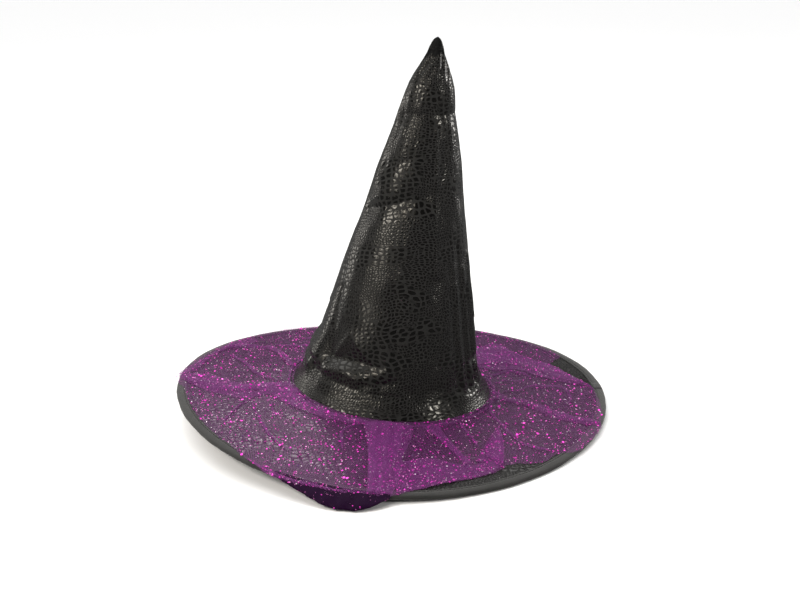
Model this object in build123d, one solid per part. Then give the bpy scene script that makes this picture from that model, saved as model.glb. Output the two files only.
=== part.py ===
from build123d import *
from math import cos, sin, tan, pi, radians
import os

# A party witch hat: a tall soft cone of foil-printed cloth on a wide wired brim that is
# covered with glitter tulle. It stands on a table, brim down.
# Frame in mm: +Z up, the table is Z = 0, the origin lies under the brim's centre,
# -Y is the front of the hat and the crown leans towards +X.

# ---------------------------------------------------------------- driving sizes
RIM_RADIUS = 200.0  # outer edge of the bound brim
OPENING_RADIUS = 89.8  # hole in the brim, under the crown
SEAT_HEIGHT = 15.5  # underside of the brim at the centre of the hole
BASE_TILT = 6.0  # degrees; the hole's left side is the higher one
CROWN_LEAN = 8.0  # degrees; the crown's axis from upright, towards +X

COVER = 0.55  # brim cover cloth
BOARD = 1.4  # felted stiffener between the covers
TAPE = 0.7  # edge binding, each leg
TAPE_WIDTH = 9.0
PLY_GAP = 0.05  # between one ply and the next
WIRE_DIAMETER = 2.0
WIRE_RADIUS = 197.9  # of the hoop

SHELL = 0.7  # crown cloth
LINING = 0.8  # fused interlining behind it
HEM_BAND = 0.8
HEM_HEIGHT = 18.0
BAND_RADIUS = 88.0  # inside of the sweatband, a 55 cm head
BAND_THICKNESS = 1.0
BAND_BELOW = 4.4  # the sweatband reaches this far under the brim's top
BAND_ABOVE = 3.0

CONE_FOOT = 85.3  # radius that the straight cone would have at its foot
CONE_TAPER = 0.229  # radius lost per mm of height
BASE_FOLD_TOP = 28.0  # heights up the crown's axis
MID_FOLD = (128.0, 188.0)
TIP_FOLD = (224.0, 264.0)
CONE_TOP = 286.0
TIP_TOP = 327.0
PIECE_GAP = 0.1  # between one crown piece and the next

TULLE = 2.0  # height that the loose tulle takes up
TULLE_LIFT = 4.25  # above the brim's underside

os.makedirs("parts", exist_ok=True)


def save(name, shape):
    """Writes one sub-part, as one solid wherever it is one."""
    solids = shape.solids()
    body = solids[0] if len(solids) == 1 else Compound(children=solids)
    body.label = name
    export_step(body, f"parts/{name}.step")


# ---------------------------------------------------------------- brim surface
def rim_height(turn):
    """Height of the sprung rim above the table; turn runs from +X, seen from above."""
    wave = 8.5 - 10.9 * cos(turn) - 1.8 * sin(turn)
    wave += 6.9 * cos(2 * turn) + 1.6 * sin(2 * turn)
    return max(wave, 0.0)


def brim_height(turn, radius):
    """Underside of the brim: straight lines from the level hole to the waved rim."""
    hole = SEAT_HEIGHT - OPENING_RADIUS * cos(turn) * tan(radians(BASE_TILT))
    share = (radius - OPENING_RADIUS) / (RIM_RADIUS - OPENING_RADIUS)
    return (1 - share) * hole + share * rim_height(turn)


def ring(radius, lift, points=48):
    """A closed curve that follows the brim at one radius, lift above its underside."""
    turns = [2 * pi * i / points for i in range(points)]
    return Edge.make_spline(
        [Vector(radius * cos(t), radius * sin(t), brim_height(t, radius) + lift) for t in turns],
        periodic=True,
    )


def ply(inner, outer, lift, thickness):
    """One layer of the brim between two radii."""
    face = Face.make_surface_from_curves(ring(inner, lift), ring(outer, lift))
    return Solid.extrude(face, Vector(0, 0, thickness))


def sector(start, end, reach=260.0):
    """A tall wedge about Z between two turns in degrees, at most 180 apart."""
    steps = [radians(start + (end - start) * i / 4) for i in range(5)]
    outline = [(0, 0)] + [(reach * cos(t), reach * sin(t)) for t in steps]
    return extrude(Pos(0, 0, -20) * make_face(Polyline(*outline, close=True)), 80)


under_lift = TAPE + PLY_GAP
board_lift = under_lift + COVER + PLY_GAP
top_lift = board_lift + BOARD + PLY_GAP
seat_lift = top_lift + COVER + PLY_GAP  # the crown stands here
tape_top = seat_lift + TAPE

save("brim_under_cover", ply(OPENING_RADIUS, WIRE_RADIUS - 1.4, under_lift, COVER))
save("brim_stiffener", ply(OPENING_RADIUS, WIRE_RADIUS - 2.9, board_lift, BOARD))
save("brim_top_cover", ply(OPENING_RADIUS, WIRE_RADIUS - 1.4, top_lift, COVER))

tape_outside = ply(RIM_RADIUS - TAPE_WIDTH, RIM_RADIUS, 0, tape_top)
tape_inside = ply(RIM_RADIUS - TAPE_WIDTH - 1, RIM_RADIUS - TAPE, TAPE + 0.02, seat_lift - TAPE - 0.04)
save("brim_edge_binding", tape_outside - tape_inside)

# the binding's end is turned under and laps over its start
lap = ply(RIM_RADIUS - TAPE_WIDTH, RIM_RADIUS - 0.1, tape_top + PLY_GAP, TAPE) & sector(1.5, 5.0)
save("binding_lap", lap)

# ---------------------------------------------------------------- wire hoop in the edge
WIRE_SPLIT = 90.0  # degrees; the hoop's ends meet at the back
WIRE_END_GAP = 0.6
SLEEVE_HALF = 2.2  # degrees of hoop inside the crimped sleeve, each side
wire_lift = (TAPE + seat_lift) / 2


def hoop(start, end, points=73):
    """Part of the hoop's centre line, from one turn to another in degrees."""
    turns = [radians(start + (end - start) * i / (points - 1)) for i in range(points)]
    return Edge.make_spline(
        [
            Vector(
                WIRE_RADIUS * cos(t),
                WIRE_RADIUS * sin(t),
                brim_height(t, WIRE_RADIUS) + wire_lift,
            )
            for t in turns
        ]
    )


def round_bar(path, radius):
    return sweep(Plane(origin=path @ 0, z_dir=path % 0) * Circle(radius), path)


hoop_path = hoop(WIRE_SPLIT + WIRE_END_GAP / 2, WIRE_SPLIT + 360 - WIRE_END_GAP / 2)
save("brim_wire", round_bar(hoop_path, WIRE_DIAMETER / 2))
sleeve_path = hoop(WIRE_SPLIT - SLEEVE_HALF, WIRE_SPLIT + SLEEVE_HALF, points=9)
sleeve = round_bar(sleeve_path, WIRE_DIAMETER / 2 + 0.2)
sleeve -= round_bar(sleeve_path, WIRE_DIAMETER / 2 + 0.08)
save("wire_sleeve", sleeve)

# ---------------------------------------------------------------- crown
seat_z = SEAT_HEIGHT + seat_lift
base_normal = (sin(radians(BASE_TILT)), 0, cos(radians(BASE_TILT)))
base = Plane(
    origin=(0, 0, seat_z),
    x_dir=(cos(radians(BASE_TILT)), 0, -sin(radians(BASE_TILT))),
    z_dir=base_normal,
)
crown = Plane(
    origin=(0, 0, seat_z),
    x_dir=(cos(radians(CROWN_LEAN)), 0, -sin(radians(CROWN_LEAN))),
    z_dir=(sin(radians(CROWN_LEAN)), 0, cos(radians(CROWN_LEAN))),
)
# everything below the crown's seat, to trim the pieces that stand on the brim
below_seat = ply(70, 125, -40, 40 + seat_lift)

HEM_FLARE = [(94.6, -1.2), (90.6, 4.5), (86.6, 10.0), (82.4, HEM_HEIGHT)]  # radius, height


def cone(height):
    """Outside radius of the crown at a height up its axis."""
    return CONE_FOOT - CONE_TAPER * height


def turned(plane, outline):
    """A solid of revolution about a plane's Z from (radius, height) points."""
    face = make_face(Polyline(*[(r, 0, h) for r, h in outline], close=True))
    return plane * revolve(face, Axis.Z)


def sleeve_of(plane, outside, thickness):
    """A thin turned wall that follows a list of outside points."""
    inside = [(r - thickness, h) for r, h in reversed(outside)]
    return turned(plane, outside + inside)


def cone_wall(bottom, top, inset, thickness):
    """A straight piece of the crown's wall, inset from the outside."""
    edge = [(cone(bottom) - inset, bottom), (cone(top) - inset, top)]
    return sleeve_of(crown, edge, thickness)


save("crown_hem_band", sleeve_of(base, HEM_FLARE, HEM_BAND) - below_seat)


def base_fold_skin(inset):
    """The crown's foot, from the hem to the start of the straight cone."""
    hem = [base * Pos(0, 0, h) * Circle(r - inset) for r, h in HEM_FLARE]
    top = crown * Pos(0, 0, BASE_FOLD_TOP) * Circle(cone(BASE_FOLD_TOP) - inset)
    return loft([*hem, top], ruled=True)


fold_inset = HEM_BAND + PIECE_GAP
base_fold = base_fold_skin(fold_inset) - base_fold_skin(fold_inset + SHELL + LINING)
save("crown_base_fold", base_fold - below_seat)

band_profile = [(BAND_RADIUS, -BAND_BELOW), (BAND_RADIUS + BAND_THICKNESS, -BAND_BELOW)]
band_profile += [(BAND_RADIUS + BAND_THICKNESS, BAND_ABOVE), (BAND_RADIUS, BAND_ABOVE)]
save("sweatband", turned(base, band_profile))

lining_inset = SHELL + PLY_GAP
full_wall = SHELL + PLY_GAP + LINING

# the stiff lengths of cone between the folds: cloth, interlining, and the back seam
SEAM_WIDTH = 8.0
SEAM_TALL = 1.2


def back_seam(bottom, top):
    """Pressed seam allowance down the inside of the back, against the interlining."""
    inner = full_wall + PLY_GAP
    wall = cone_wall(bottom, top, inner, SEAM_TALL)
    strip = crown * Pos(0, cone((bottom + top) / 2), (bottom + top) / 2)
    return wall & strip * Box(SEAM_WIDTH, 60, top - bottom - 1)


lengths = {
    "crown_lower": (BASE_FOLD_TOP + PIECE_GAP, MID_FOLD[0] - PIECE_GAP),
    "crown_middle": (MID_FOLD[1] + PIECE_GAP, TIP_FOLD[0] - PIECE_GAP),
    "crown_tip": (TIP_FOLD[1] + PIECE_GAP, CONE_TOP),
}
for name, (bottom, top) in lengths.items():
    save(f"{name}_shell", cone_wall(bottom, top, 0, SHELL))
    save(f"{name}_interlining", cone_wall(bottom, top, lining_inset, LINING))
    save(f"{name}_back_seam", back_seam(bottom, top))

for name, (bottom, top) in {"crown_mid_fold": MID_FOLD, "crown_tip_fold": TIP_FOLD}.items():
    save(name, cone_wall(bottom, top, 0, full_wall))

# the crumpled point: gathered cloth, bound with thread
cap_foot = CONE_TOP + PIECE_GAP
NECK = (318.0, 5.2)  # height and radius of the thread binding
cap_outline = [(0, cap_foot), (cone(CONE_TOP), cap_foot), (13.0, 302.0), (6.2, 315.0)]
cap_outline += [(NECK[1] - 1.2, NECK[0] - 1.5), (NECK[1] - 1.2, NECK[0] + 1.5)]
cap_outline += [(5.0, 322.0), (3.6, TIP_TOP - 1), (0, TIP_TOP)]
save("crown_point", turned(crown, cap_outline))
THREAD = 0.9
turns_of_thread = [
    crown * Pos(0, 0, NECK[0] + shift) * Torus(NECK[1] - 1.2 + THREAD / 2 + 0.03, THREAD / 2)
    for shift in (-0.95, 0, 0.95)
]
save("point_thread", Compound(children=turns_of_thread))

# ---------------------------------------------------------------- loose tulle on the brim
INNER_TULLE = 96.5
SEAM_AT_FRONT = -99.0  # degrees, where the two lengths of tulle meet
SEAM_AT_BACK = 62.0
FRONT_EDGE = 187.0  # radius where the front right length stops short of the binding
FRONT_EDGE_END = -12.0


def tulle(start, end, outer):
    """A flat soft layer on the brim over part of its round."""
    layer = ply(INNER_TULLE, outer, TULLE_LIFT + PLY_GAP, TULLE)
    middle = (start + end) / 2
    pieces = [layer & sector(start, middle), layer & sector(middle, end)]
    return pieces[0] + pieces[1]


CUT = 0.4  # degrees left open between neighbouring lengths
save("tulle_left", tulle(SEAM_AT_BACK + CUT, 360 + SEAM_AT_FRONT - CUT, RIM_RADIUS - 0.5))
save("tulle_front_right", tulle(SEAM_AT_FRONT + CUT, FRONT_EDGE_END - CUT, FRONT_EDGE))
save("tulle_back_right", tulle(FRONT_EDGE_END + CUT, SEAM_AT_BACK - CUT, RIM_RADIUS - 14))

# gathered edge of the tulle, drawn up on a thread round the foot of the crown
roll_face = Pos(95.3, 0, 1.6) * Rot(90, 0, 0) * Circle(0.6)
save("tulle_gathering_thread", base * revolve(roll_face, Axis.Z))

# a loose corner of tulle hangs over the front edge down to the table
POUCH_TURN = -103.0
POUCH_SIZE = (30.0, 8.0, 6.0)  # half sizes along the rim, outwards and upwards
pouch_place = Rot(0, 0, POUCH_TURN + 90) * Pos(0, -(RIM_RADIUS + 0.5), POUCH_SIZE[2])
pouch = pouch_place * scale(Sphere(1.0), by=POUCH_SIZE)
edge_room = extrude(Pos(0, 0, -5) * Circle(RIM_RADIUS + 0.15), 40)
save("tulle_front_corner", pouch - edge_room)
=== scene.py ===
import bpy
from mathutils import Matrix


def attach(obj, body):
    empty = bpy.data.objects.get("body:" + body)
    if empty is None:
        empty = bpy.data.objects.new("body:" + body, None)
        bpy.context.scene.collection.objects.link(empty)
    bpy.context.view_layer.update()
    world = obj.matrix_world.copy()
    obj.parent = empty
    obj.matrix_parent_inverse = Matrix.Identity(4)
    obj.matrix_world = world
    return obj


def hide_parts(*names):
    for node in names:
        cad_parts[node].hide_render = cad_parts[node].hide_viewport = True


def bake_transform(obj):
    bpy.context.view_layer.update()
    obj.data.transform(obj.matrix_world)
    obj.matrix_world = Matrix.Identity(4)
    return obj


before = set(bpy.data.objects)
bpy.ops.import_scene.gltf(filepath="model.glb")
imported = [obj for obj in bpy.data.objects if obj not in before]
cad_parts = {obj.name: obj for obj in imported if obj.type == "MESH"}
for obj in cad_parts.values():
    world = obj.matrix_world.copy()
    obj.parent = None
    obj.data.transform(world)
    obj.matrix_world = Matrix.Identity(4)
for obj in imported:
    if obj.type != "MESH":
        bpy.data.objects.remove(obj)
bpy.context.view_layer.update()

# A party witch hat on a pale table: black foil-print snakeskin cloth and purple glitter
# tulle. Metres, +Z up, -Y the front; the crown leans towards +X.
from math import atan2, cos, degrees, hypot, pi, radians, sin, tan

import bpy
import numpy as np
from mathutils import Matrix, Vector, noise

MM = 0.001
scene = bpy.context.scene

# ---- sizes, as in the CAD, in mm
RIM = 200.0
OPENING = 89.8
SEAT = 15.5
BASE_TILT = radians(6.0)
CROWN_LEAN = radians(8.0)
COVER = 0.55
TAPE = 0.7
TAPE_WIDTH = 9.0
TAPE_INNER = RIM - TAPE_WIDTH
UNDER_LIFT = 0.75
TOP_LIFT = 2.8
SEAT_LIFT = 3.4
TAPE_TOP = SEAT_LIFT + TAPE
CONE_FOOT = 85.3
CONE_TAPER = 0.229
FOOT_TOP = 28.0
HEM_LOW, HEM_TOP = -1.2, 18.0
# the flared foot: (height, radius)
HEM_FLARE = [(HEM_LOW, 94.6), (4.5, 90.6), (10.0, 86.6), (HEM_TOP, 82.4), (FOOT_TOP, 78.9)]
MID_FOLD = (128.0, 188.0)
TIP_FOLD = (224.0, 264.0)
TIP_TOP = 327.0

AXIS = np.array([sin(CROWN_LEAN), 0, cos(CROWN_LEAN)])
ACROSS = np.array([cos(CROWN_LEAN), 0, -sin(CROWN_LEAN)])
BASE_UP = np.array([sin(BASE_TILT), 0, cos(BASE_TILT)])
BASE_ACROSS = np.array([cos(BASE_TILT), 0, -sin(BASE_TILT)])
BACK = np.array([0, 1.0, 0])
FOOT = np.array([0, 0, SEAT + SEAT_LIFT])


def rim_height(turn):
    """The sprung rim's height above the table, in mm: high at the left, low in front of it."""
    wave = 8.5 - 10.9 * np.cos(turn) - 1.8 * np.sin(turn)
    wave = wave + 6.9 * np.cos(2 * turn) + 1.6 * np.sin(2 * turn)
    return np.maximum(wave, 0.0)


def brim_height(turn, radius):
    """Underside of the brim in mm: straight from the level hole to the sprung rim."""
    hole = SEAT - OPENING * np.cos(turn) * tan(BASE_TILT)
    share = (radius - OPENING) / (RIM - OPENING)
    return (1 - share) * hole + share * rim_height(turn)


def smooth(x):
    """An eased step from 0 at 0 to 1 at 1."""
    x = np.clip(x, 0, 1)
    return x * x * (3 - 2 * x)


def polar(radius, turn):
    """Points (x, y) of the brim at a radius and turn."""
    return np.stack([radius * np.cos(turn), radius * np.sin(turn)], -1)


def raised(place, height):
    """Points (x, y) with their heights."""
    return np.concatenate([place, height[..., None]], -1)


def unit(vectors):
    return vectors / np.linalg.norm(vectors, axis=-1, keepdims=True)


def circle(count):
    """Evenly spaced turns all the way round."""
    return np.linspace(0, 2 * pi, count, endpoint=False)


# ---- mesh helpers
def placed(name, data):
    """A new object in the scene."""
    thing = bpy.data.objects.new(name, data)
    scene.collection.objects.link(thing)
    return thing


def piece(name, points, faces, uv=None, materials=(), shade=True):
    """A mesh object from points in mm; uv is one (u, v) a point, in mm."""
    mesh = bpy.data.meshes.new(name)
    mesh.from_pydata((np.asarray(points, float) * MM).tolist(), [], faces)
    if uv is not None:
        loops = np.empty(len(mesh.loops), int)
        mesh.loops.foreach_get("vertex_index", loops)
        mesh.uv_layers.new(name="flat").data.foreach_set("uv", np.asarray(uv, float)[loops].ravel())
    for m in materials:
        mesh.materials.append(m)
    mesh.polygons.foreach_set("use_smooth", [shade] * len(mesh.polygons))
    mesh.update()
    return placed(name, mesh)


def sew_on(thing, slot, *nodes, body="brim"):
    """Fix a piece to one body, in place of its CAD nodes."""
    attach(thing, body)
    if nodes:
        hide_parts(*nodes)


def grid_faces(rows, columns, wrap=False, start=0, flip=False, close=False):
    """Quads of a grid of points stored row by row. wrap joins the last column to the first,
    and close the last row to the first."""
    faces = []
    for i in range(rows if close else rows - 1):
        here, above = start + i * columns, start + (i + 1) % rows * columns
        for j in range(columns if wrap else columns - 1):
            k = (j + 1) % columns
            quad = (here + j, here + k, above + k, above + j)
            faces.append(quad[::-1] if flip else quad)
    return faces


TUBE_SIDES = 6


def tube_faces(rows, columns=TUBE_SIDES, start=0, flip=False):
    """A tube's rings of points as its wall and two end faces."""
    ends = [tuple(start + end + k for k in range(columns)) for end in (0, (rows - 1) * columns)]
    ends[0 if flip else 1] = ends[0 if flip else 1][::-1]
    return grid_faces(rows, columns, wrap=True, start=start) + ends


def tube(centres, side, up, radii):
    """Rings of points round a line of centres."""
    ring = circle(TUBE_SIDES)[:, None]
    return centres[:, None] + radii * (side[..., None, :] * np.cos(ring) + up[..., None, :] * np.sin(ring))


def edge_faces(ring, count, flip=False):
    """Walls from a ring of one sheet's points to the same ring count points further on."""
    walls = [(a, b, b + count, a + count) for a, b in zip(ring, [*ring[1:], ring[0]])]
    return [wall[::-1] for wall in walls] if flip else walls


def closed_profile(name, profile, columns, place, around, material):
    """A closed (radius, height) outline carried round. place gives each of its points a ring
    of places, and around is the length of the flat cloth for each radian."""
    turns = circle(columns)
    rings, uv, run, last = [], [], 0.0, profile[-1]
    for radius, height in profile:
        run += hypot(radius - last[0], height - last[1])
        last = (radius, height)
        rings.append(place(turns, radius, height, run))
        uv.append(np.stack([turns * around, np.full(columns, run)], -1))
    faces = grid_faces(len(profile), columns, wrap=True, close=True)
    return piece(name, np.concatenate(rings), faces, uv=np.concatenate(uv), materials=[material])


def lumps(points, size, seed=0.0, octaves=2):
    """Soft noise in about -1 to 1 at points in mm, with lumps about size mm across."""
    found = [
        noise.fractal(Vector((x / size + seed, y / size, z / size)), 0.9, 2.0, octaves)
        for x, y, z in points.reshape(-1, 3)
    ]
    return np.array(found).reshape(points.shape[:-1])


# ---- shader helper
class Shader:
    """The nodes of a material, or of the world. add takes inputs by name, or by place as i0, i1."""

    def __init__(self, name, library=bpy.data.materials):
        self.owner = library.new(name)
        self.owner.use_nodes = True
        self.tree = self.owner.node_tree
        self.tree.nodes.clear()

    def add(self, kind, settings=None, **inputs):
        node = self.tree.nodes.new("ShaderNode" + kind)
        for key, value in (settings or {}).items():
            setattr(node, key, value)
        for key, value in inputs.items():
            socket = node.inputs[int(key[1:]) if key[1:].isdigit() else key.replace("_", " ")]
            if isinstance(value, bpy.types.NodeSocket):
                self.tree.links.new(value, socket)
            else:
                socket.default_value = (*value, 1) if socket.type == "RGBA" else value
        return node

    def math(self, operation, a, b=0.0):
        return self.add("Math", {"operation": operation}, i0=a, i1=b).outputs[0]

    def blend(self, share, a, b):
        return self.add("Mix", {"data_type": "RGBA"}, i0=share, i6=a, i7=b).outputs[2]

    def shades(self, share, colour, low, high):
        """A colour that varies between low and high times its own strength."""
        return self.blend(share, *(tuple(c * k for c in colour) for k in (low, high)))

    def between(self, share, a, b):
        return self.add("Mix", {"data_type": "FLOAT"}, i0=share, i2=a, i3=b).outputs[0]

    def step(self, value, low, high, start=0.0, end=1.0):
        smoothstep = {"interpolation_type": "SMOOTHSTEP"}
        return self.add("MapRange", smoothstep, i0=value, i1=low, i2=high, i3=start, i4=end).outputs[0]

    def flat(self):
        return self.add("UVMap", {"uv_map": "flat"}).outputs[0]

    def drifted(self, flat, size, reach, middle):
        """Flat coordinates moved by about reach mm, in soft patches size mm across."""
        drift = self.add("TexNoise", Vector=flat, Scale=1 / size, Detail=1.0).outputs["Color"]
        drift = self.add("VectorMath", {"operation": "SUBTRACT"}, i0=drift, i1=(middle,) * 3).outputs[0]
        drift = self.add("VectorMath", {"operation": "SCALE"}, i0=drift, Scale=reach).outputs[0]
        return self.add("VectorMath", {"operation": "ADD"}, i0=flat, i1=drift).outputs[0]

    def scaled(self, vector, scale):
        return self.add("Mapping", Vector=vector, Scale=scale).outputs[0]

    def noise(self, vector, size, detail=2.0, rough=0.5):
        found = self.add("TexNoise", Vector=vector, Scale=1 / size, Detail=detail, Roughness=rough)
        return found.outputs["Fac"]

    def bump(self, height, strength, distance):
        return self.add("Bump", Strength=strength, Distance=distance, Height=height).outputs[0]

    def done(self, surface, output="OutputMaterial"):
        self.tree.links.new(surface.outputs[0], self.add(output).inputs[0])
        return self.owner

    def principled(self, **inputs):
        return self.done(self.add("BsdfPrincipled", **inputs))


# ---- materials
LARGE_SCALE = (6.6, 4.4)  # width and height of the printed scales, in mm
SMALL_SCALE = (3.1, 2.4)
SCALE_TURN = -9
NET_LEAN = 0.62  # radians between the net's threads and its length, either way


def snakeskin_material(name):
    """Foil-printed scales: glossy black ovals in rows, on a satin charcoal ground."""
    s = Shader(name)
    flat = s.flat()
    moved = s.drifted(flat, 46, 24.0, 0.5)

    def scales(width, height, loose):
        """How far inside an oval scale: about 0.5 in its middle, less towards its edge."""
        placed = s.add("Mapping", Vector=moved, Rotation=(0, 0, radians(SCALE_TURN)))
        placed = s.scaled(placed.outputs[0], (1 / width, 1 / height, 1))
        edge, centre = (
            s.add(
                "TexVoronoi", {"feature": feature, "voronoi_dimensions": "2D"},
                Vector=placed, Scale=1.0, Randomness=loose,
            ).outputs["Distance"]
            for feature in ("DISTANCE_TO_EDGE", "F1")
        )
        return s.math("MINIMUM", edge, s.math("SUBTRACT", 0.62, centre))

    large = scales(*LARGE_SCALE, 0.55)
    small = scales(*SMALL_SCALE, 0.7)
    region = s.noise(s.scaled(flat, (0.8, 1.6, 1)), 46, detail=1.5)
    region = s.step(region, 0.50, 0.55)
    cell = s.between(region, s.step(small, 0.09, 0.19), s.step(large, 0.10, 0.18))
    dome = s.between(region, s.step(small, 0.12, 0.45), s.step(large, 0.12, 0.45))
    wear = s.noise(flat, 9, detail=4)
    dust = s.noise(flat, 0.7, detail=2)
    ground = s.blend(dust, (0.0110, 0.0110, 0.0108), (0.0262, 0.0261, 0.0252))
    foil = s.blend(s.noise(flat, 14), (0.0010, 0.0010, 0.0011), (0.0022, 0.0021, 0.0021))
    height = s.math("ADD", s.math("MULTIPLY", dome, 0.7), s.math("MULTIPLY", dust, 0.12))
    return s.principled(
        Base_Color=s.blend(cell, ground, foil),
        Roughness=s.between(cell, 0.5, s.between(wear, 0.13, 0.28)),
        Specular_IOR_Level=s.between(cell, 0.05, 0.32),
        Specular_Tint=(1.0, 0.96, 0.88),
        Normal=s.bump(height, 0.8, 0.18 * MM),
    )


def woven_material(name, colour, thread, contrast=0.6):
    """Plain woven or knitted cloth, threads run along and across the flat coordinates."""
    s = Shader(name)
    flat = s.flat()
    u, v, _ = s.add("SeparateXYZ", Vector=flat).outputs
    warp = s.math("SINE", s.math("MULTIPLY", u, 2 * pi / thread))
    weft = s.math("SINE", s.math("MULTIPLY", v, 2 * pi / thread))
    weave = s.math("MULTIPLY", warp, weft)
    mottle = s.noise(flat, 11, detail=4)
    tone = s.math("ADD", s.math("MULTIPLY", weave, 0.25), mottle)
    return s.principled(
        Base_Color=s.shades(s.step(tone, 0.2, 0.8), colour, 1 - contrast, 1 + contrast),
        Roughness=0.8,
        Sheen_Weight=0.2,
        Specular_IOR_Level=0.3,
        Normal=s.bump(weave, 0.35, 0.12 * MM),
    )


def tulle_material(name, colour, cover, gloss, pitch=1.2):
    """Diamond net: threads in two slanting sets, clear between them."""
    s = Shader(name)
    flat = s.drifted(s.flat(), 17, 2.4, 0.0)
    u, v, _ = s.add("SeparateXYZ", Vector=flat).outputs
    masks = []
    for lean in (NET_LEAN, -NET_LEAN):
        along = s.math("ADD", s.math("MULTIPLY", u, cos(lean)), s.math("MULTIPLY", v, sin(lean)))
        saw = s.math("FRACT", s.math("MULTIPLY", along, 1 / pitch))
        off = s.math("ABSOLUTE", s.math("SUBTRACT", saw, 0.5))
        masks.append(s.step(off, 0.5 - cover * 0.62, 0.5 - cover * 0.38))
    net = s.math("MAXIMUM", *masks)
    tone = s.shades(s.noise(flat, 24, detail=3), colour, 0.75, 1.25)
    thread = s.add("BsdfPrincipled", Base_Color=tone, Roughness=0.5, Specular_IOR_Level=gloss)
    lit = s.add("BsdfTranslucent", Color=tone)
    body = s.add("MixShader", i0=0.3, i1=thread.outputs[0], i2=lit.outputs[0])
    clear = s.add("BsdfTransparent")
    return s.done(s.add("MixShader", i0=net, i1=clear.outputs[0], i2=body.outputs[0]))


def flake_material(name, colour):
    """Foil glitter: bright film with a slight colour change across each flake."""
    s = Shader(name)
    place = s.add("NewGeometry").outputs["Position"]
    tone = s.shades(s.noise(place, 4 * MM), colour, 0.7, 1.0)
    return s.principled(Base_Color=tone, Metallic=0.2, Roughness=0.28)


def metal_material(name, colour, rough):
    """Drawn metal with a fine grain along it."""
    s = Shader(name)
    place = s.add("TexCoord").outputs["Object"]
    grain = s.noise(s.scaled(place, (1, 1, 6)), 2 * MM, detail=5)
    return s.principled(
        Base_Color=s.shades(grain, colour, 0.7, 1.0),
        Metallic=1.0,
        Roughness=s.between(grain, rough, rough + 0.2),
        Normal=s.bump(grain, 0.2, 0.05 * MM),
    )


def felt_material(name, colour, sheen=0.3):
    """Matt fibres: board, fused interlining, thread and the cloth's wrong side."""
    s = Shader(name)
    place = s.add("TexCoord").outputs["Object"]
    fibre = s.noise(place, 1.2 * MM, detail=6, rough=0.7)
    return s.principled(
        Base_Color=s.shades(fibre, colour, 0.5, 1.6),
        Roughness=0.95,
        Specular_IOR_Level=0.2,
        Sheen_Weight=sheen,
        Normal=s.bump(fibre, 0.6, 0.3 * MM),
    )


skin = snakeskin_material("snakeskin_foil")
lining_cloth = woven_material("lining_cloth", (0.012, 0.012, 0.013), thread=0.7)
tape_cloth = woven_material("binding_tape", (0.0125, 0.0122, 0.0110), thread=0.8, contrast=0.35)
band_cloth = woven_material("sweatband_ribbon", (0.012, 0.012, 0.013), thread=1.4)
thread_cloth = felt_material("sewing_thread", (0.004, 0.004, 0.004), sheen=0.05)
board_felt = felt_material("board_felt", (0.05, 0.05, 0.05))
wrong_side = felt_material("cloth_wrong_side", (0.003, 0.003, 0.003), sheen=0.0)
fused_felt = felt_material("fused_interlining", (0.035, 0.035, 0.036))
tulle_net = tulle_material("purple_tulle", (0.23, 0.043, 0.23), cover=0.16, gloss=0.3)
# the hanging corner is the same purple tulle, its colour made far darker as painted shade for the shadow
# under the brim's edge; its thicker cover stands for the bunched layers
pouch_net_painted_shade = tulle_material("bunched_tulle", (0.016, 0.003, 0.021), cover=0.7, gloss=0.05)
wire_metal = metal_material("spring_wire", (0.45, 0.45, 0.46), 0.3)
sleeve_metal = metal_material("crimped_sleeve", (0.6, 0.6, 0.6), 0.4)
magenta = flake_material("glitter_magenta", (1.0, 0.02, 0.66))
pink = flake_material("glitter_pink", (1.0, 0.26, 0.76))
pale = flake_material("glitter_pale", (0.95, 0.75, 0.92))
deep = flake_material("glitter_deep", (0.07, 0.0, 0.10))

# ---- brim
BRIM_COLUMNS = 480


def brim_cloth(name, lift, node, material, slot, seed):
    """A cover of the brim: eased a little between crown and binding, puckered at the tape."""
    radii = [OPENING + 0.2, *np.linspace(OPENING + 1, TAPE_INNER - 1, 44), RIM - 4]
    turns = circle(BRIM_COLUMNS)
    r, t = np.meshgrid(radii, turns, indexing="ij")
    place = polar(r, t)
    bumps = lumps(raised(place, np.full(r.shape, seed)), 34)
    fade = smooth((r - OPENING) / 12) * smooth((TAPE_INNER - 0.5 - r) / 10)
    pucker = np.exp(-(((TAPE_INNER - 3 - r) / 5) ** 2)) * np.sin(t * 90 + 3 * np.sin(7 * t))
    ease = 0.35 * bumps * fade + 0.10 * pucker * (r < TAPE_INNER)
    low = brim_height(t, r) + lift
    points = np.concatenate([raised(place, low + COVER + ease), raised(place, low + ease)])
    flat = place.reshape(-1, 2)
    faces = grid_faces(len(radii), BRIM_COLUMNS, wrap=True, flip=True)
    faces += grid_faces(len(radii), BRIM_COLUMNS, wrap=True, start=r.size)
    faces += edge_faces(range(BRIM_COLUMNS), r.size)
    faces += edge_faces(range(r.size - BRIM_COLUMNS, r.size), r.size, flip=True)
    uv = np.concatenate([flat, flat])
    cloth = piece(name, points.reshape(-1, 3), faces, uv=uv, materials=[material])
    sew_on(cloth, slot, node)
    return cloth


top_cloth = brim_cloth("brim_top_cloth", TOP_LIFT, "brim_top_cover", skin, "snakeskin_cloth", 0.0)
brim_cloth("brim_under_cloth", UNDER_LIFT, "brim_under_cover", lining_cloth, "black_lining_cloth", 5.0)

GROOVE = TAPE_INNER + 1.9  # the radius of the stitched groove


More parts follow.
